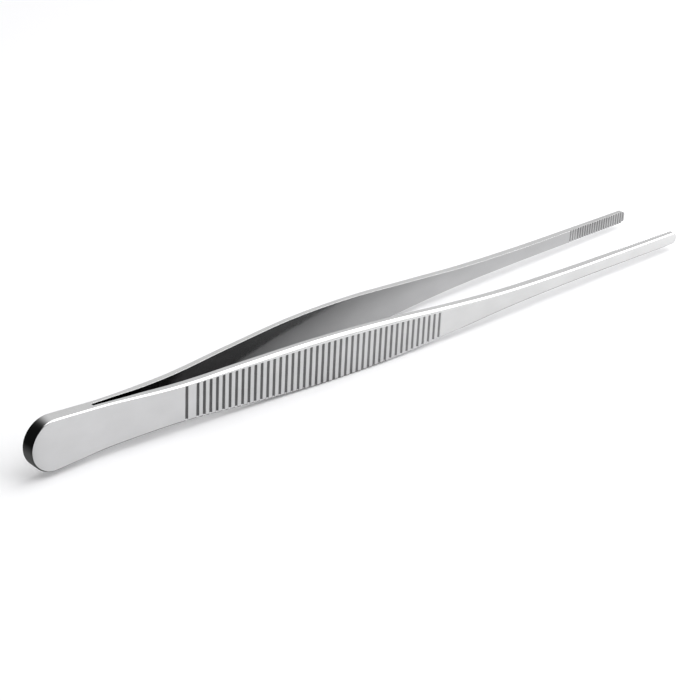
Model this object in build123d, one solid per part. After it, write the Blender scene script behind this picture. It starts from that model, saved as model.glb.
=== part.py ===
from build123d import *
import math
import os

# Print tongs: two mirror-image stainless blades, welded at the butt and free at the jaws.
#
# Every piece is first shaped in the tongs' straight frame: X runs from the butt (0) to the jaw
# tips, Y across the tongs with the seam of the two blades at 0, Z across the width of a blade
# with 0 at its middle. At the end the whole assembly leans tips-down, the way it balances on
# its two bellies when it lies on its long edge, and moves so that the origin is at the middle
# of the underside of its box.
# "Left" is +Y and "right" is -Y, as seen from the butt towards the jaws.

# ---------------------------------------------------------------- driving dimensions, mm, degrees
LENGTH = 200.0
BUTT_THICKNESS = 3.4          # both blades together
BUTT_RADIUS = 6.1             # the rounded end of the butt, seen from the side
TIP_RADIUS = 1.65             # the rounded end of a jaw
WELD_LENGTH = 16.5            # the blades part company here

SPLAY_START = WELD_LENGTH     # a short bend opens each blade out
SPLAY_END = 23.0
SPLAY_ANGLE = 5.4
EASE_START = 70.0             # a long bend brings the blade back almost parallel
EASE_END = 131.0
JAW_ANGLE = 0.3

BUTT_TAPER_ANGLE = 3.2        # how steeply the edges leave the rounded butt
EDGE_BEVEL = 0.4

FLEX_X = 30.0                 # where a blade is taken to bend when it is squeezed
FLEX_GAP = 0.14               # running clearance there, between a blade's butt and its arm

GROOVE_COUNT = 42             # evenly spaced, after one that stands apart
LONE_GROOVE_X = 39.1
GROOVE_START = 41.95
GROOVE_PITCH = 1.685
GROOVE_WIDTH = 0.75
GROOVE_DEPTH = 0.4
GROOVE_MARGIN = 0.75          # plain metal left between a groove's end and the blade's edge

TOOTH_COUNT = 22
TOOTH_PITCH = 0.99
TOOTH_DEPTH = 0.28
TOOTH_START = 176.8

EDGE_WELD_WIDTH = 0.8
EDGE_WELD_DEPTH = 0.5
SPOT_RADIUS = 1.5
SPOT_HEIGHT = 1.0
SPOT_X = [5.5, 11.0]

REST_LEAN = 1.2               # tips-down, with the bellies right under the centre of mass

# Half the width of a blade along its length: butt, waist, belly, taper and jaw.
HALF_WIDTHS = [
    (20.0, 5.30),
    (38.0, 4.62),
    (56.0, 5.30),
    (76.0, 5.85),
    (96.0, 5.20),
    (116.0, 3.65),
    (134.0, 2.42),
    (154.0, 1.82),
]
# Thickness of one blade from the end of the weld to the tip: thinned just past the weld so that
# it springs there, which makes the slot between the blades start wide, and thick in the shank.
THICKNESSES = [
    (WELD_LENGTH, 1.25),
    (22.0, 1.25),
    (29.0, 1.65),
    (36.0, 1.75),
    (58.0, 1.72),
    (84.0, 1.76),
    (112.0, 2.00),
    (148.0, 2.12),
    (LENGTH, 1.60),
]
# Runs of the outer face: start, end, angle at the start, angle at the end.
OUTER_RUNS = [
    (0.0, SPLAY_START, 0.0, 0.0),
    (SPLAY_START, SPLAY_END, 0.0, SPLAY_ANGLE),
    (SPLAY_END, EASE_START, SPLAY_ANGLE, SPLAY_ANGLE),
    (EASE_START, EASE_END, SPLAY_ANGLE, JAW_ANGLE),
    (EASE_END, LENGTH, JAW_ANGLE, JAW_ANGLE),
]

REACH = 10.0                  # past any face, for solids that only cut
NEAR = 0.02                   # what counts as lying on a face
INWARD = 1.0                  # an edge this far off the middle line, or this near an end, is on the rim


# ---------------------------------------------------------------- the blade's lines
def sine(degrees):
    return math.sin(math.radians(degrees))


def outer_sine(x):
    """Sine of the outer face's angle to the seam at x."""
    for start, end, angle_in, angle_out in OUTER_RUNS:
        if x <= end:
            share = (x - start) / (end - start)
            return sine(angle_in) + (sine(angle_out) - sine(angle_in)) * share
    return sine(JAW_ANGLE)


def outer_y(x):
    """Distance from the seam to the outer face at x."""
    y = BUTT_THICKNESS / 2
    for start, end, angle_in, angle_out in OUTER_RUNS:
        run = min(max(x, start), end) - start
        if angle_in == angle_out:
            y += run * math.tan(math.radians(angle_in))
            continue
        radius = (end - start) / (sine(angle_out) - sine(angle_in))
        angle = math.asin(sine(angle_in) + run / radius)
        y += radius * (math.cos(math.radians(angle_in)) - math.cos(angle))
    return y


def inner_points():
    return [(x, outer_y(x) - thickness) for x, thickness in THICKNESSES]


def inner_curve():
    """The free inner face of the left blade in plan, from the end of the weld to the tip."""
    return Spline(*inner_points())


def edge_curve(inset=0.0):
    """The upper edge of a blade seen from the side, from the butt's round to the tip's."""
    radius = BUTT_RADIUS - inset
    leaving = (math.cos(math.radians(BUTT_TAPER_ANGLE)), -sine(BUTT_TAPER_ANGLE))
    start = (BUTT_RADIUS - radius * leaving[1], radius * leaving[0])
    stations = [(x, half_width - inset) for x, half_width in HALF_WIDTHS]
    end = (LENGTH - TIP_RADIUS, TIP_RADIUS - inset)
    return Spline(start, *stations, end, tangents=[leaving, (1, 0)])


def height_at(curve, x):
    """The second coordinate of a curve that runs steadily along X, at x."""
    low, high = 0.0, 1.0
    for _ in range(40):
        middle = (low + high) / 2
        if curve.position_at(middle).X < x:
            low = middle
        else:
            high = middle
    return curve.position_at(low).Y


# ---------------------------------------------------------------- outlines
def plan_outline():
    """The left blade seen from above."""
    edges = []
    for start, end, angle_in, angle_out in OUTER_RUNS:
        first, last = (start, outer_y(start)), (end, outer_y(end))
        if angle_in == angle_out:
            edges.append(Line(first, last))
        else:
            middle = (start + end) / 2
            edges.append(ThreePointArc(first, (middle, outer_y(middle)), last))
    inner = inner_curve()
    edges.append(Line((LENGTH, outer_y(LENGTH)), inner @ 1))
    edges.append(inner)
    edges.append(Line(inner @ 0, (WELD_LENGTH, 0)))
    edges.append(Line((WELD_LENGTH, 0), (0, 0)))
    edges.append(Line((0, 0), (0, outer_y(0))))
    return make_face(edges)


def side_outline(inset=0.0):
    """A blade seen from the side, drawn in X and Y, or a line that runs inside its edge."""
    upper = edge_curve(inset)
    lower = mirror(upper, Plane.XZ)
    butt = ThreePointArc(lower @ 0, (inset, 0), upper @ 0)
    tip = ThreePointArc(upper @ 1, (LENGTH - inset, 0), lower @ 1)
    return make_face([upper, tip, lower, butt])


def side_solid(outline, y_from, y_to):
    """A solid with the given side outline between two distances from the seam."""
    solid = extrude(outline, amount=y_to - y_from)
    return Pos(0, y_to, 0) * Rot(90, 0, 0) * solid


# ---------------------------------------------------------------- cuts in a blade
def outer_rim(blade):
    """The edges all round the outer face."""
    rim = []
    for edge in blade.edges():
        middle = edge @ 0.5
        on_outer_face = abs(middle.Y - outer_y(middle.X)) < NEAR
        crosses_face = abs(middle.Z) < INWARD and INWARD < middle.X < LENGTH - INWARD
        if on_outer_face and not crosses_face:
            rim.append(edge)
    return rim


def grip_grooves():
    """Round-ended grooves across the outer face, ready to cut."""
    edge = edge_curve()
    places = [LONE_GROOVE_X] + [GROOVE_START + i * GROOVE_PITCH for i in range(GROOVE_COUNT)]
    grooves = []
    for x in places:
        length = 2 * (height_at(edge, x) - GROOVE_MARGIN)
        angle = math.degrees(math.asin(outer_sine(x)))
        slot = extrude(SlotOverall(length, GROOVE_WIDTH, rotation=90), amount=2 * GROOVE_DEPTH)
        floor = Pos(x, outer_y(x), 0) * Rot(0, 0, angle) * Pos(0, -GROOVE_DEPTH, 0)
        grooves.append(floor * Rot(-90, 0, 0) * slot)
    return grooves


def jaw_notches():
    """The saw-tooth space between the teeth of the inner face, ready to cut."""
    inner = inner_curve()
    points = []
    for i in range(TOOTH_COUNT + 1):
        crest = TOOTH_START + i * TOOTH_PITCH
        root = crest + TOOTH_PITCH / 2
        points.append((crest, height_at(inner, crest)))
        points.append((root, height_at(inner, root) + TOOTH_DEPTH))
    points += [(root, -REACH), (TOOTH_START, -REACH)]
    return extrude(make_face(Polyline(*points, close=True)), amount=REACH, both=True)


# ---------------------------------------------------------------- pieces, in the straight frame
def whole_blade():
    """The left blade in one piece, bevelled, grooved and toothed."""
    blade = extrude(plan_outline(), amount=REACH, both=True)
    blade = blade & side_solid(side_outline(), -REACH, 2 * REACH)
    blade = chamfer(outer_rim(blade), EDGE_BEVEL)
    blade = blade - grip_grooves()
    return blade - jaw_notches()


def butt_edge_weld():
    """The weld bead run round the butt along the seam and ground flush."""
    outside = side_solid(side_outline(), -EDGE_WELD_WIDTH / 2, EDGE_WELD_WIDTH / 2)
    inside = side_solid(side_outline(EDGE_WELD_DEPTH), -EDGE_WELD_WIDTH, EDGE_WELD_WIDTH)
    return (outside & slab(-REACH, WELD_LENGTH)) - inside


def spot_welds():
    """The two nuggets that hold the blades together inside the butt."""
    return [Pos(x, 0, 0) * Rot(90, 0, 0) * Cylinder(SPOT_RADIUS, SPOT_HEIGHT) for x in SPOT_X]


def slab(x_from, x_to):
    """Everything between two distances from the butt."""
    middle = (x_from + x_to) / 2
    return Pos(middle, 0, 0) * Box(x_to - x_from, 4 * REACH, 4 * REACH)


def left_blade_butt(blade, welds):
    return (blade & slab(-REACH, FLEX_X - FLEX_GAP / 2)) - welds


def left_blade_arm(blade):
    return blade & slab(FLEX_X + FLEX_GAP / 2, LENGTH + REACH)


# ---------------------------------------------------------------- assembly
def straight_assembly():
    blade = whole_blade()
    edge_weld = butt_edge_weld()
    spots = spot_welds()
    left_butt = left_blade_butt(blade, [edge_weld] + spots)
    left_arm = left_blade_arm(blade)
    return {
        "left_blade_butt": left_butt,
        "right_blade_butt": mirror(left_butt, Plane.XZ),
        "left_blade_arm": left_arm,
        "right_blade_arm": mirror(left_arm, Plane.XZ),
        "butt_edge_weld": edge_weld,
        "spot_welds": Compound(spots),
    }


def at_rest(nodes):
    """Lean the assembly tips-down and bring its box's underside centre to the origin."""
    leaning = {name: Rot(0, REST_LEAN, 0) * shape for name, shape in nodes.items()}
    boxes = [shape.bounding_box() for shape in leaning.values()]
    lowest_x = min(box.min.X for box in boxes)
    highest_x = max(box.max.X for box in boxes)
    shift = Pos(-(lowest_x + highest_x) / 2, 0, -min(box.min.Z for box in boxes))
    return {name: shift * shape for name, shape in leaning.items()}, shift


def flex_pivot(shift):
    """Where the left blade's flexure axis passes, and the axis, once the tongs are at rest."""
    thickness = outer_y(FLEX_X) - height_at(inner_curve(), FLEX_X)
    middle = Vector(FLEX_X, outer_y(FLEX_X) - thickness / 2, 0)
    placing = shift * Rot(0, REST_LEAN, 0)
    pivot = (placing * Pos(middle)).position
    axis = Vector(sine(REST_LEAN), 0, math.cos(math.radians(REST_LEAN)))
    return pivot, axis


def main():
    os.makedirs("parts", exist_ok=True)
    nodes, shift = at_rest(straight_assembly())
    for name, shape in nodes.items():
        export_step(shape, f"parts/{name}.step")
    pivot, axis = flex_pivot(shift)
    print("shift", shift.position)
    print("left flexure pivot", pivot, "axis", axis)


main()
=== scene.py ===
import math

import bmesh
import bpy
import numpy as np
from mathutils import Matrix, Vector

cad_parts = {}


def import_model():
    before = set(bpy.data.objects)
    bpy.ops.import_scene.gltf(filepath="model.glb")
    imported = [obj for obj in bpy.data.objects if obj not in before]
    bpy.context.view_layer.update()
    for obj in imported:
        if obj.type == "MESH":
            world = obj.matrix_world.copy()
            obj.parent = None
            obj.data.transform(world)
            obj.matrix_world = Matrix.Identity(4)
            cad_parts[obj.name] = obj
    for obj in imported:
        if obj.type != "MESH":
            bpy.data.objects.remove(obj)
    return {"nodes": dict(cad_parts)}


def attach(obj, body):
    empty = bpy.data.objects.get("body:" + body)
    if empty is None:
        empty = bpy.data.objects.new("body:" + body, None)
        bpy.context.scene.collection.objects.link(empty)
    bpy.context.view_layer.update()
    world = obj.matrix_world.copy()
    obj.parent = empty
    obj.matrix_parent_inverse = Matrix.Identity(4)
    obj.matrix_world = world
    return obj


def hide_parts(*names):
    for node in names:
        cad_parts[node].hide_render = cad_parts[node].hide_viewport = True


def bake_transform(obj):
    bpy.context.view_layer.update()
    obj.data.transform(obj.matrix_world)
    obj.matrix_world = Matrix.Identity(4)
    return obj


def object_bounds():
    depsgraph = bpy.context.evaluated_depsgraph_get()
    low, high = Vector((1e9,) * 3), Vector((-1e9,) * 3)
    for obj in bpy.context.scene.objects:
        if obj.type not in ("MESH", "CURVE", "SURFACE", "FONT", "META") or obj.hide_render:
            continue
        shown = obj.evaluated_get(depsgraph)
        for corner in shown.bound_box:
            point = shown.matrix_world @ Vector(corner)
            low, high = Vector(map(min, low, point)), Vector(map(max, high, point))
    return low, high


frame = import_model()
cad_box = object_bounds()

# Print tongs. The blades are drawn in the tongs' straight frame, in millimetres: x from the butt
# to the jaw tips, y away from the seam, z across the width of a blade. They are then leaned and
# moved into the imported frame, in metres.
MM = 0.001
LENGTH = 200.0
REST_LEAN = 1.2               # degrees, tips-down
LEFT, RIGHT = 1, -1           # the side of the seam a blade is on

BUTT_THICKNESS = 3.4          # both blades together
BUTT_RADIUS = 6.1             # the rounded end of the butt, seen from the side
BUTT_TAPER_ANGLE = 3.2        # degrees, how steeply the edges leave it
TIP_RADIUS = 1.65             # the rounded end of a jaw
WELD_LENGTH = 16.5            # the blades part company here
SPLAY_END = 23.0              # a short bend opens each blade out, from the end of the weld to here
SPLAY_ANGLE = 5.4
EASE_START = 70.0             # a long bend brings it back almost parallel
EASE_END = 131.0
JAW_ANGLE = 0.3

GROOVE_COUNT = 42             # evenly spaced, after one that stands apart
LONE_GROOVE_X = 39.1
GROOVE_START = 41.95
GROOVE_PITCH = 1.685
GROOVE_WIDTH = 0.9
GROOVE_DEPTH = 0.4
GROOVE_FLOOR = 0.3            # the floor ends this far from the middle, in half widths
GROOVE_LIP = 1.15             # and the soft lip ends here
GROOVE_RUNOUT = 0.4           # a groove runs out to nothing over this, up to the bevel

TOOTH_PITCH = 0.99
TOOTH_START = 176.8
TOOTH_DEPTH = 0.28
TOOTH_CREST = 0.12            # share of half a pitch that is flat crest
TOOTH_ROOT = 0.9              # and where the notch is at its full depth

EDGE_WELD_WIDTH = 0.8
EDGE_WELD_DEPTH = 0.5
INNER_ROUND = 0.05            # the small round where the inner face meets the edge

FLEX_START = 24.0             # a blade bends between these when it is squeezed; the script only places them on the seam
FLEX_END = 36.0

# Along the length: half the width from the end of the round butt to the start of the round tip,
# the thickness, and the reach of the outer edge's bevel across the face and down the edge.
HALF_WIDTHS = [(6.44, 6.09), (20, 5.3), (38, 4.62), (56, 5.3), (76, 5.85), (96, 5.2), (116, 3.65),
               (134, 2.42), (154, 1.82), (180, 1.65), (LENGTH - TIP_RADIUS, TIP_RADIUS)]
THICKNESSES = [(WELD_LENGTH, 1.25), (22, 1.25), (29, 1.65), (36, 1.75), (58, 1.72), (84, 1.76),
               (112, 2.0), (148, 2.12), (LENGTH, 1.6)]
BEVEL_ACROSS = [(0, 0.3), (22, 0.3), (40, 0.5), (60, 0.95), (80, 1.15), (100, 1.05), (120, 0.7),
                (150, 0.42), (180, 0.35), (LENGTH, 0.3)]
BEVEL_DOWN = [(0, 0.25), (22, 0.3), (42, 0.4), (60, 0.5), (80, 0.55), (100, 0.55), (120, 0.45),
              (160, 0.35), (LENGTH, 0.35)]
BEVEL_CROWN = 0.4             # 0 is a flat bevel, 1 a full round
LOWER_ACROSS = 0.45           # reach across the face of the lower edge's bevel between the ends
LOWER_EASE = [(12, 20), (170, 190)]   # where the lower bevel eases into that reach and out of it

# Spacing of the mesh's stations along a blade, in millimetres, and steps round its section.
BUTT_STEP = 0.8
SHANK_STEP = 1.0
WELD_STEP = 0.05              # on each side of the end of the weld, so that the step there is sharp
TOOTH_CLEAR = 0.2             # before the first tooth
STEPS_PER_TOOTH = 10
ACROSS_GROOVE = [0.3, 0.5, 0.65, 0.8, 0.95, 1.1, 1.25]   # stations each side, in half widths
BUTT_ROUND_POINTS = 48
TIP_ROUND_POINTS = 28
FACE_STEPS = [0.0, 0.2, 0.4, 0.58, 0.73, 0.84, 0.9, 0.94, 0.97, 0.99]   # share of the way to the edge
FLAT_STEPS = [0.12, 0.88]     # of the flat top of the edge, so that it is shaded flat
BEVEL_STEPS = 10
INNER_STEPS = 4
SHARP_ANGLE = 38.0            # degrees; anything sharper is shaded as an edge
JOIN_DISTANCE = 1e-7          # in metres; points closer than this become one
TINY_EDGE = 1e-8              # in metres; an edge shorter than this goes
# A face this far down a groove or a notch gets its darker tone, which is painted shade.
IN_GROOVE = 0.4               # share of the depth below which a face has the groove's finish
IN_NOTCH = 0.5                # and the same for a notch
INNER_SIDE, EDGE_SIDE, OUTER_SIDE = range(3)
FACE, EDGE, INNER, GROOVE, NOTCH = range(5)   # the finishes of a blade, in the order of its slots


# ---------------------------------------------------------------- lines of a blade
def smooth(stations, x):
    """A smooth curve through the stations, level beyond the first and the last."""
    knots, values = (np.array(column, float) for column in zip(*stations))
    slopes = np.gradient(values, knots)
    x = np.clip(x, knots[0], knots[-1])
    i = np.clip(np.searchsorted(knots, x, side="right") - 1, 0, len(knots) - 2)
    span = knots[i + 1] - knots[i]
    t = (x - knots[i]) / span
    before, after = values[i], values[i + 1]
    rise_in, rise_out = slopes[i] * span, slopes[i + 1] * span
    return (before * (1 + 2 * t) * (1 - t) ** 2 + rise_in * t * (1 - t) ** 2
            + after * t * t * (3 - 2 * t) + rise_out * t * t * (t - 1))


def smoothstep(low, high, value):
    """0 below low, 1 above high and a smooth rise between them."""
    t = np.clip((value - low) / (high - low), 0.0, 1.0)
    return t * t * (3 - 2 * t)


def outer_y(x):
    """Distance from the seam to the outer face: flat butt, short bend, straight, long bend, straight."""
    splay = (WELD_LENGTH, SPLAY_END, EASE_START, 0.0, SPLAY_ANGLE)
    ease = (EASE_START, EASE_END, LENGTH, SPLAY_ANGLE, JAW_ANGLE)
    y = np.full_like(x, BUTT_THICKNESS / 2)
    for start, end, straight_end, angle_in, angle_out in (splay, ease):
        sine_in, sine_out = math.sin(math.radians(angle_in)), math.sin(math.radians(angle_out))
        radius = (end - start) / (sine_out - sine_in)
        run = np.clip(x - start, 0.0, end - start)
        y += radius * (math.cos(math.radians(angle_in)) - np.cos(np.arcsin(sine_in + run / radius)))
        y += np.clip(x - end, 0.0, straight_end - end) * math.tan(math.radians(angle_out))
    return y


def inner_y(x):
    """Distance from the seam to the inner face."""
    free = outer_y(x) - smooth(THICKNESSES, x)
    return np.where(x <= WELD_LENGTH, 0.0, free)


def groove_places():
    """The middle of every grip groove."""
    return np.array([LONE_GROOVE_X] + [GROOVE_START + i * GROOVE_PITCH for i in range(GROOVE_COUNT)])


def groove_depth(x):
    """Depth of the grip grooves below the outer face: steep sides, a round bottom and soft lips."""
    distance = np.min(np.abs(x[..., None] - groove_places()), axis=-1)
    return GROOVE_DEPTH * (1 - smoothstep(GROOVE_FLOOR, GROOVE_LIP, distance / (GROOVE_WIDTH / 2)))


def tooth_depth(x):
    """Depth of the notches between the jaw teeth."""
    turns = (x - TOOTH_START) / TOOTH_PITCH
    wave = 1 - np.abs(2 * (turns - np.floor(turns)) - 1)
    return np.where(x >= TOOTH_START, TOOTH_DEPTH * smoothstep(TOOTH_CREST, TOOTH_ROOT, wave), 0.0)


# ---------------------------------------------------------------- stations along a blade
def plain_stations(start, end, step):
    """Even stations from start to end, about a step apart."""
    return list(np.linspace(start, end, max(2, round((end - start) / step) + 1)))


def long_edge_stations():
    """Places along the blade: close together at every groove and tooth."""
    grooves = groove_places()
    across_groove = np.array([-share for share in reversed(ACROSS_GROOVE)] + [0.0] + ACROSS_GROOVE)
    xs = plain_stations(HALF_WIDTHS[0][0], WELD_LENGTH - 10 * WELD_STEP, BUTT_STEP)
    xs += plain_stations(WELD_LENGTH - WELD_STEP, WELD_LENGTH + WELD_STEP, WELD_STEP)
    xs += plain_stations(WELD_LENGTH + 10 * WELD_STEP, LONE_GROOVE_X - GROOVE_WIDTH, BUTT_STEP)
    for x in grooves:
        xs += list(x + across_groove * GROOVE_WIDTH / 2)
    xs += plain_stations(grooves[-1] + GROOVE_WIDTH, TOOTH_START - TOOTH_CLEAR, SHANK_STEP)
    xs += plain_stations(TOOTH_START, LENGTH - TIP_RADIUS, TOOTH_PITCH / STEPS_PER_TOOTH)
    return np.unique(np.round(xs, 4))


def rail():
    """The upper outline of a blade from the butt's end to the tip's end, with its outward direction."""
    butt = np.radians(np.linspace(180, 90 + BUTT_TAPER_ANGLE, BUTT_ROUND_POINTS))
    tip = np.radians(np.linspace(90, 0, TIP_ROUND_POINTS))
    xs = long_edge_stations()[1:-1]
    tip_x = LENGTH - TIP_RADIUS + TIP_RADIUS * np.cos(tip)
    x = np.concatenate([BUTT_RADIUS * (1 + np.cos(butt)), xs, tip_x])
    z = np.concatenate([BUTT_RADIUS * np.sin(butt), smooth(HALF_WIDTHS, xs), TIP_RADIUS * np.sin(tip)])
    out_x = np.concatenate([np.cos(butt), np.zeros_like(xs), np.cos(tip)])
    out_z = np.concatenate([np.sin(butt), np.ones_like(xs), np.sin(tip)])
    return x, z, out_x, out_z


# ---------------------------------------------------------------- section of a blade
def bevel_point(t, across, down):
    """A point of the crowned bevel, t from 0 at the edge to 1 at the face: its inset from the edge
    and its drop below the face."""
    pull = (1 - BEVEL_CROWN) / 2
    inset = across * (2 * t * (1 - t) * pull + t * t)
    drop = down * ((1 - t) ** 2 + 2 * t * (1 - t) * pull)
    return inset, drop


def inner_corner(k, welded):
    """Inset and rise of a step round the inner corner: a small round, or the square rebate that the
    edge weld fills."""
    share = k / INNER_STEPS
    angle = math.pi / 2 * share
    round_inset = INNER_ROUND * (1 - math.sin(angle))
    round_rise = INNER_ROUND * (1 - math.cos(angle))
    square_inset = EDGE_WELD_DEPTH * min(1.0, 2 - 2 * share)
    square_rise = EDGE_WELD_WIDTH / 2 * min(1.0, 2 * share)
    inset = round_inset * (1 - welded) + square_inset * welded
    rise = round_rise * (1 - welded) + square_rise * welded
    return inset, rise


def bevel_reach(x, closed):
    """How far the bevel reaches across the face: at the lower edge it is smaller between the ends."""
    across = smooth(BEVEL_ACROSS, x)
    if closed:
        return across
    between_ends = smoothstep(*LOWER_EASE[0], x) * (1 - smoothstep(*LOWER_EASE[1], x))
    return across + (LOWER_ACROSS - across) * between_ends


def half_section(x, z, out_x, out_z, closed):
    """Points of one half of the section, from the middle of the inner face round the edge to the
    middle of the outer face. Each is an array of straight-frame places and the side it is on. The
    upper half is closed: its grooves run out before the bevel. The lower half's cut through it."""
    across = bevel_reach(x, closed)
    down = smooth(BEVEL_DOWN, x)
    welded = np.where(x <= WELD_LENGTH, 1.0, 0.0)
    groove_share = 0.0 if closed else 1.0
    points = []

    def add(side, inset, share, surface):
        px = x - out_x * inset
        pz = (z - out_z * inset) * share
        points.append((np.stack([px, surface(px), pz], axis=1), side))

    def inner_surface(px, rise=0.0):
        return inner_y(px) + tooth_depth(px) + rise

    def outer_surface(px, drop, share=0.0):
        return outer_y(px) - np.maximum(drop, groove_depth(px) * share)

    for share in FACE_STEPS:
        add(INNER_SIDE, inner_corner(0, welded)[0], share, inner_surface)
    for k in range(INNER_STEPS + 1):
        inset, rise = inner_corner(k, welded)
        add(EDGE_SIDE, inset, 1.0, lambda px, rise=rise: inner_surface(px, rise))
    low, high = inner_surface(x, rise), outer_surface(x, down)
    for share in FLAT_STEPS:
        add(EDGE_SIDE, 0.0, 1.0, lambda px, share=share: low + (high - low) * share)
    for k in range(BEVEL_STEPS + 1):
        inset, drop = bevel_point(k / BEVEL_STEPS, across, down)
        add(EDGE_SIDE, inset, 1.0, lambda px, drop=drop: outer_surface(px, drop, groove_share))
    for share in reversed(FACE_STEPS):
        to_bevel = (z - out_z * across) * (1 - share)
        runout = smoothstep(0, GROOVE_RUNOUT, to_bevel) if closed else 1.0
        add(OUTER_SIDE, across, share, lambda px, runout=runout: outer_surface(px, 0.0, runout))
    return points


# ---------------------------------------------------------------- mesh building
def mesh_object(name, vertices, faces, materials, face_materials):
    """A new object of the scene, with a material number for every face."""
    mesh = bpy.data.meshes.new(name)
    mesh.from_pydata([tuple(v) for v in vertices], [], [tuple(map(int, f)) for f in faces])
    for material in materials:
        mesh.materials.append(material)
    mesh.polygons.foreach_set("material_index", face_materials)
    piece = bpy.data.objects.new(name, mesh)
    bpy.context.scene.collection.objects.link(piece)
    return piece


def finish_mesh(piece):
    """Joins the doubled points at the ends, turns every face outwards and sets the smoothing."""
    work = bmesh.new()
    work.from_mesh(piece.data)
    bmesh.ops.remove_doubles(work, verts=work.verts, dist=JOIN_DISTANCE)
    bmesh.ops.dissolve_degenerate(work, edges=work.edges, dist=TINY_EDGE)
    bmesh.ops.recalc_face_normals(work, faces=work.faces)
    work.to_mesh(piece.data)
    work.free()
    piece.data.polygons.foreach_set("use_smooth", [True] * len(piece.data.polygons))
    piece.data.set_sharp_from_angle(angle=math.radians(SHARP_ANGLE))
    piece.data.update()


def settle():
    """The full placing: the leaned tongs stand with their lowest point on the floor and their
    middle over the origin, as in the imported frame."""
    x, z, _, _ = rail()
    lean = math.radians(REST_LEAN)
    lowest = np.min(-x * math.sin(lean) - z * math.cos(lean))
    upper_x = x * math.cos(lean) + z * math.sin(lean)
    lower_x = x * math.cos(lean) - z * math.sin(lean)
    leaned_x = np.concatenate([upper_x, lower_x])
    middle = (leaned_x.min() + leaned_x.max()) / 2
    shift = Matrix.Translation(Vector((-middle * MM, 0, -lowest * MM)))
    return shift @ Matrix.Scale(MM, 4) @ Matrix.Rotation(lean, 4, "Y")


PLACING = settle()


def place(points):
    """Puts straight-frame points, as an array of rows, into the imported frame."""
    matrix = np.array(PLACING)
    return points @ matrix[:3, :3].T + matrix[:3, 3]


def place_on_seam(x):
    """Packed-frame places of points on the seam's middle line, as an array of rows."""
    return place(np.stack([x, np.zeros_like(x), np.zeros_like(x)], axis=1))


def blade(name, side, materials):
    """One whole blade as a closed mesh with grip grooves, bevelled edges and jaw teeth."""
    upper = half_section(*rail(), closed=True)
    lower = [(places * (1, 1, -1), where) for places, where in half_section(*rail(), closed=False)]
    loop = upper + lower[-2:0:-1]
    count, rows = len(loop), len(upper[0][0])
    vertices = np.stack([places for places, where in loop], axis=1).reshape(-1, 3)
    sides = np.array([where for places, where in loop])
    row, k = np.meshgrid(np.arange(rows - 1) * count, np.arange(count), indexing="ij")
    after = (k + 1) % count
    corners = [row + k, row + after, row + count + after, row + count + k]
    faces = np.stack(corners, axis=-1).reshape(-1, 4)
    middles = vertices[faces].mean(axis=1)
    finishes = finish_numbers(middles, sides[k].ravel(), sides[after].ravel())
    vertices[:, 1] *= side
    piece = mesh_object(name, place(vertices), faces, materials, finishes)
    finish_mesh(piece)
    return piece


def finish_numbers(middles, side, next_side):
    """Which finish each face of the blade has, from its middle and the sides its corners are on."""
    x, y = middles[:, 0], middles[:, 1]
    on_inner = (side == INNER_SIDE) | (next_side == INNER_SIDE)
    on_outer = (side == OUTER_SIDE) | (next_side == OUTER_SIDE)
    in_groove = on_outer & (outer_y(x) - y > IN_GROOVE * GROOVE_DEPTH)
    in_notch = on_inner & (tooth_depth(x) > IN_NOTCH * TOOTH_DEPTH)
    return np.select([in_notch, on_inner, in_groove, on_outer], [NOTCH, INNER, GROOVE, FACE], EDGE)


def edge_weld(material):
    """The bead that closes the seam round the butt, ground flush with the blades' edges."""
    outline = rail()
    x, z, out_x, out_z = (values[outline[0] <= WELD_LENGTH] for values in outline)
    x = np.concatenate([x[::-1], x[1:]])
    z = np.concatenate([z[::-1], -z[1:]])
    out_x = np.concatenate([out_x[::-1], out_x[1:]])
    out_z = np.concatenate([out_z[::-1], -out_z[1:]])
    half = EDGE_WELD_WIDTH / 2
    profile = [(0, y) for y in (-half, -half / 2, 0, half / 2, half)]
    profile += [(EDGE_WELD_DEPTH, half), (EDGE_WELD_DEPTH, -half)]
    lines = []
    for inset, y in profile:
        lines.append(np.stack([x - out_x * inset, np.full_like(x, y), z - out_z * inset], axis=1))
    count = len(profile)
    vertices = np.stack(lines, axis=1).reshape(-1, 3)
    faces = []
    for row in range(len(x) - 1):
        for k in range(count):
            a, b = row * count + k, row * count + (k + 1) % count
            faces.append((a, b, b + count, a + count))
    last = (len(x) - 1) * count
    faces += [tuple(range(count)), tuple(range(last, last + count))]
    piece = mesh_object("edge_weld_bead", place(vertices), faces, [material], [0] * len(faces))
    finish_mesh(piece)
    return piece


# ---------------------------------------------------------------- materials
BRUSH_STRETCH, BRUSH_SCALE, BRUSH_DETAIL = (30, 900, 900), 6.0, 4.0    # fine lines along a blade
CLOUD_STRETCH, CLOUD_SCALE, CLOUD_DETAIL = (1, 2, 2), 120.0, 3.0       # broad, soft patches
NOISE_LOW, NOISE_HIGH = 0.3, 0.7      # nearly all of a noise lies between these
GRAIN_HEIGHT = 0.02 * MM
STEEL_TINT = (1.0, 1.0, 1.005)


def node(tree, kind, **values):
    """A new shader node with some of its own settings changed."""
    made = tree.nodes.new(kind)
    for key, value in values.items():
        setattr(made, key, value)
    return made


def stretched_noise(tree, stretch, scale, detail):
    """Noise drawn out along the blade, as grinding and polishing leave it."""
    coordinates = node(tree, "ShaderNodeTexCoord")
    mapping = node(tree, "ShaderNodeMapping")
    mapping.inputs["Scale"].default_value = stretch
    noise = node(tree, "ShaderNodeTexNoise")
    noise.inputs["Scale"].default_value = scale
    noise.inputs["Detail"].default_value = detail
    tree.links.new(coordinates.outputs["Object"], mapping.inputs["Vector"])
    tree.links.new(mapping.outputs["Vector"], noise.inputs["Vector"])
    return noise.outputs["Fac"]


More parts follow.
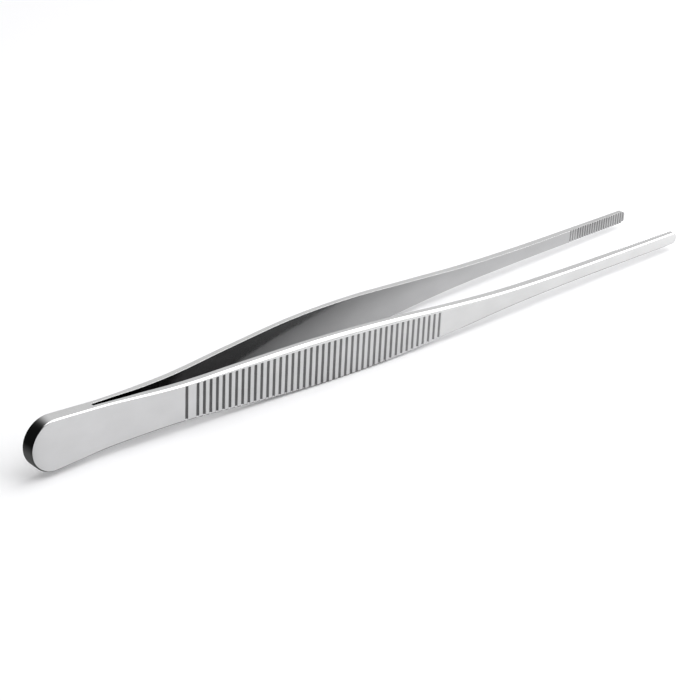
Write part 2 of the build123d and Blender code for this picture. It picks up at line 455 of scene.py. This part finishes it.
def ranged(tree, value, from_low, from_high, to_low, to_high, **settings):
    """A value carried from one range to another."""
    spread = node(tree, "ShaderNodeMapRange", **settings)
    spread.inputs["From Min"].default_value = from_low
    spread.inputs["From Max"].default_value = from_high
    spread.inputs["To Min"].default_value = to_low
    spread.inputs["To Max"].default_value = to_high
    tree.links.new(value, spread.inputs["Value"])
    return spread.outputs["Result"]


def evenly_mixed(tree, first, second):
    """Half of one value and half of another."""
    half = node(tree, "ShaderNodeMath", operation="MULTIPLY")
    half.inputs[1].default_value = 0.5
    total = node(tree, "ShaderNodeMath", operation="MULTIPLY_ADD")
    total.inputs[1].default_value = 0.5
    tree.links.new(second, half.inputs[0])
    tree.links.new(first, total.inputs[0])
    tree.links.new(half.outputs[0], total.inputs[2])
    return total.outputs[0]


def shade_towards_weld(tree, colour, weld_shade):
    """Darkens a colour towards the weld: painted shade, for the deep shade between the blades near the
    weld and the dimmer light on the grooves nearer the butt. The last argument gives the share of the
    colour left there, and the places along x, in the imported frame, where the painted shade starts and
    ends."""
    share, start, end = weld_shade
    coordinates = node(tree, "ShaderNodeTexCoord")
    split = node(tree, "ShaderNodeSeparateXYZ")
    tree.links.new(coordinates.outputs["Object"], split.inputs[0])
    along = ranged(tree, split.outputs["X"], start, end, share, 1.0, interpolation_type="SMOOTHSTEP")
    scale = node(tree, "ShaderNodeVectorMath", operation="SCALE")
    tree.links.new(colour, scale.inputs[0])
    tree.links.new(along, scale.inputs["Scale"])
    return scale.outputs["Vector"]


def steel(name, tone, roughness, grain, weld_shade=None):
    """Stainless steel: tone and roughness as (low, high) pairs, grain as bump strength."""
    material = bpy.data.materials.new(name)
    material.use_nodes = True
    tree = material.node_tree
    shader = tree.nodes["Principled BSDF"]
    shader.inputs["Metallic"].default_value = 1.0
    brush = stretched_noise(tree, BRUSH_STRETCH, BRUSH_SCALE, BRUSH_DETAIL)
    clouds = stretched_noise(tree, CLOUD_STRETCH, CLOUD_SCALE, CLOUD_DETAIL)
    rough = ranged(tree, evenly_mixed(tree, brush, clouds), NOISE_LOW, NOISE_HIGH, *roughness)
    tree.links.new(rough, shader.inputs["Roughness"])
    colour = node(tree, "ShaderNodeCombineColor")
    for channel, share in zip(("Red", "Green", "Blue"), STEEL_TINT):
        level = ranged(tree, clouds, NOISE_LOW, NOISE_HIGH, tone[0] * share, tone[1] * share)
        tree.links.new(level, colour.inputs[channel])
    # The optional darkening towards the weld is painted shade.
    base = shade_towards_weld(tree, colour.outputs["Color"], weld_shade) if weld_shade else colour.outputs["Color"]
    tree.links.new(base, shader.inputs["Base Color"])
    bump = node(tree, "ShaderNodeBump")
    bump.inputs["Strength"].default_value = grain
    bump.inputs["Distance"].default_value = GRAIN_HEIGHT
    tree.links.new(brush, bump.inputs["Height"])
    tree.links.new(bump.outputs["Normal"], shader.inputs["Normal"])
    return material


def table_material():
    """Matt white."""
    material = bpy.data.materials.new("white_table")
    material.use_nodes = True
    shader = material.node_tree.nodes["Principled BSDF"]
    shader.inputs["Base Color"].default_value = (0.95, 0.95, 0.96, 1)
    shader.inputs["Roughness"].default_value = 0.9
    shader.inputs["Specular IOR Level"].default_value = 0.0
    return material


def card_material():
    """Glows as brightly as the card's own "glow" says, point by point."""
    material = bpy.data.materials.new("card")
    material.use_nodes = True
    tree = material.node_tree
    tree.nodes.remove(tree.nodes["Principled BSDF"])
    emission = node(tree, "ShaderNodeEmission")
    glow = node(tree, "ShaderNodeAttribute", attribute_name="glow")
    tree.links.new(glow.outputs["Fac"], emission.inputs["Strength"])
    tree.links.new(emission.outputs[0], tree.nodes["Material Output"].inputs["Surface"])
    return material


# ---------------------------------------------------------------- studio, in metres
CARD_STEPS = 24               # spans along a card
CARD_LIFT = 0.0001            # of a card that lies on the table
TABLE_REACH = 4.0
BUTT_MIDDLE = cad_box[0][0] + BUTT_RADIUS * MM
TIPS = cad_box[1][0]


def card(name, rows, glow):
    """A card through rows of points, as many in each, that only the steel's reflections see. glow
    gives its brightness from the shares of the way along the rows and along a row."""
    count = len(rows[0])
    vertices = []
    brightness = []
    for i, row in enumerate(rows):
        for k, point in enumerate(row):
            vertices.append(point)
            brightness.append(glow(i / (len(rows) - 1), k / (count - 1)))
    faces = []
    for i in range(len(rows) - 1):
        for k in range(count - 1):
            low = count * i + k
            faces.append((low, low + count, low + count + 1, low + 1))
    mesh = bpy.data.meshes.new(name)
    mesh.from_pydata(vertices, [], faces)
    mesh.attributes.new("glow", "FLOAT", "POINT").data.foreach_set("value", brightness)
    mesh.materials.append(card_material())
    piece = bpy.data.objects.new(name, mesh)
    bpy.context.scene.collection.objects.link(piece)
    piece.visible_camera = False
    piece.visible_diffuse = False
    piece.visible_shadow = False


def curved_card(name, middle_x, azimuths, profile, glow):
    """A card bent round an upright axis on the seam, between two azimuths in degrees from +X
    towards +Y. The profile lists its radius and height from the bottom up."""
    rows = []
    for azimuth in np.linspace(*azimuths, CARD_STEPS + 1):
        along, across = math.cos(math.radians(azimuth)), math.sin(math.radians(azimuth))
        rows.append([(middle_x + radius * along, radius * across, height) for radius, height in profile])
    card(name, rows, glow)


def table_card(name, start, end, outer_line, inner_line, glow):
    """A strip flat on the table along the right blade, between two places along it and two lines
    given as functions of x, all in straight-frame millimetres."""
    x = np.linspace(start, end, CARD_STEPS + 1)
    along = place_on_seam(x)[:, 0]
    outer, inner = outer_line(x) * RIGHT * MM, inner_line(x) * RIGHT * MM
    rows = [[(row_x, y, CARD_LIFT) for y in pair] for row_x, *pair in zip(along, outer, inner)]
    card(name, rows, glow)


def shade_card(name, start, end, strength):
    """A dark strip on the table right below the right blade."""
    table_card(name, start, end, lambda x: outer_y(x) + 0.3, lambda x: inner_y(x) - 0.2,
               lambda i, k: strength)


def sky_card():
    """Round the right and the back: white for the bevels, then pale grey for the flat edge tops."""
    radius, low, high = 0.8, 0.05, 1.3
    white, grey = 1.5, 0.85
    curved_card("sky_card", 0, (-70, 100), [(radius, low), (radius, high)],
                lambda i, k: white + (grey - white) * smoothstep(0.48, 0.54, i))


def butt_flag():
    """Past the butt: grey at the back, falling away to black at the side, dark grey low down and
    pale at the top."""
    foot, wall = 0.003, 0.0085
    heights = [CARD_LIFT, 0.0045, 0.0085, 0.026, 0.034]
    low_glow, high_glow, top_glow = 0.1, 0.008, 0.7
    back_glow, falloff = 0.8, 5.5

    def glow(i, k):
        base = low_glow if k < 0.5 else high_glow
        return top_glow if k == 1 else base + back_glow * math.exp(-(falloff * i) ** 2)

    profile = [(foot, CARD_LIFT)] + [(wall, height) for height in heights]
    curved_card("butt_flag", BUTT_MIDDLE, (62, 240), profile, glow)


def tip_flag():
    """A pale grey card behind the jaw tips."""
    radius, height, strength = 0.032, 0.014, 0.75
    curved_card("tip_flag", TIPS - 0.02, (20, 60), [(radius, 0.0), (radius, height)],
                lambda i, k: strength)


def shank_light():
    """A bright strip on the table in front of the near shank, brighter towards the tips."""
    near, far = 3, 32
    strength, gain = 1.22, 0.5
    table_card("shank_light", 112, 230, lambda x: outer_y(x) + far, lambda x: outer_y(x) + near,
               lambda i, k: strength + gain * i ** 2)


def softbox(name, position, target, size, power):
    """A square area light that looks at the target."""
    light = bpy.data.lights.new(name, "AREA")
    light.shape = "SQUARE"
    light.size = size
    light.energy = power
    lamp = bpy.data.objects.new(name, light)
    lamp.location = position
    lamp.rotation_euler = (Vector(target) - Vector(position)).to_track_quat("-Z", "Y").to_euler()
    bpy.context.scene.collection.objects.link(lamp)


def table():
    """The plain pale floor."""
    corners = [(x * TABLE_REACH, y * TABLE_REACH, 0) for x, y in ((-1, -1), (1, -1), (1, 1), (-1, 1))]
    mesh = bpy.data.meshes.new("table")
    mesh.from_pydata(corners, [], [(0, 1, 2, 3)])
    mesh.materials.append(table_material())
    floor = bpy.data.objects.new("table", mesh)
    bpy.context.scene.collection.objects.link(floor)


def world(strength):
    """Even white light from everywhere."""
    sky = bpy.data.worlds.new("studio")
    sky.use_nodes = True
    sky.node_tree.nodes["Background"].inputs["Color"].default_value = (1, 1, 1, 1)
    sky.node_tree.nodes["Background"].inputs["Strength"].default_value = strength
    bpy.context.scene.world = sky


def camera():
    """Looks at the tongs from the front left, a little rolled, through a long lens."""
    azimuth, elevation, roll = math.radians(43.27), math.radians(27.43), math.radians(1.91)
    distance = 0.4484
    aim = Vector((-0.0095, 0, 0.0013))
    level = math.cos(elevation)
    forward = Vector((math.sin(azimuth) * level, math.cos(azimuth) * level, -math.sin(elevation)))
    data = bpy.data.cameras.new("camera")
    data.lens = 97.5
    data.sensor_width = 36
    data.clip_start = 0.01
    view = bpy.data.objects.new("camera", data)
    turn = forward.to_track_quat("-Z", "Y").to_matrix() @ Matrix.Rotation(roll, 3, "Z")
    view.matrix_world = Matrix.Translation(aim - forward * distance) @ turn.to_4x4()
    bpy.context.scene.collection.objects.link(view)
    bpy.context.scene.camera = view


def studio():
    """A white table in an even white world, one softbox above the front right of the jaws, and the
    cards that the steel reflects."""
    bpy.context.scene.view_settings.view_transform = "Standard"
    world(0.68)
    table()
    softbox("jaw_softbox", position=(0.28, -0.2, 0.42), target=(0.03, 0, 0), size=0.8, power=3.3)
    sky_card()
    butt_flag()
    tip_flag()
    shade_card("grip_shade", start=2, end=95, strength=0.25)
    shade_card("shank_shade", start=120, end=198, strength=0.4)
    shank_light()


# ---------------------------------------------------------------- assembly
def blade_finishes():
    """The steel of a blade, in the order of the finish numbers."""
    return [
        steel("satin_face", tone=(0.56, 0.6), roughness=(0.38, 0.44), grain=0.06),
        steel("polished_edge", tone=(0.62, 0.66), roughness=(0.08, 0.14), grain=0.03),
        # The inner face is darker than the face, and darker still towards the weld: painted shade between
        # the blades.
        steel("ground_inner_face", tone=(0.44, 0.475), roughness=(0.07, 0.12), grain=0.06,
              weld_shade=(0.46, -0.05, 0.035)),
        # The grooves are much darker than the face, and darker still towards the butt: painted shade in
        # the grooves.
        steel("groove", tone=(0.18, 0.235), roughness=(0.25, 0.35), grain=0.1,
              weld_shade=(0.5, -0.06, 0.02)),
        # The notches are darker than the face: painted shade in them.
        steel("tooth_notch", tone=(0.2, 0.26), roughness=(0.25, 0.35), grain=0.1),
    ]


def tongs():
    """Both blades and the weld bead, which replace their CAD nodes, and the nuggets, which stay."""
    finishes = blade_finishes()
    flex_start, flex_end = (tuple(point) for point in place_on_seam(np.array([FLEX_START, FLEX_END])))
    for name, side, arm in (("left_blade", LEFT, "left_arm"), ("right_blade", RIGHT, "right_arm")):
        piece = blade(name, side, finishes)
        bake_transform(piece)
        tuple(flex_start)
        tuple(flex_end)
        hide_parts(f"{name}_butt", f"{name}_arm")
    bead = edge_weld(finishes[EDGE])
    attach(bead, "butt")
    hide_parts("butt_edge_weld")
    nuggets = frame["nodes"]["spot_welds"]
    nuggets.data.materials.clear()
    nuggets.data.materials.append(steel("weld_nugget", tone=(0.4, 0.5), roughness=(0.35, 0.5), grain=0.3))


camera()
studio()
tongs()
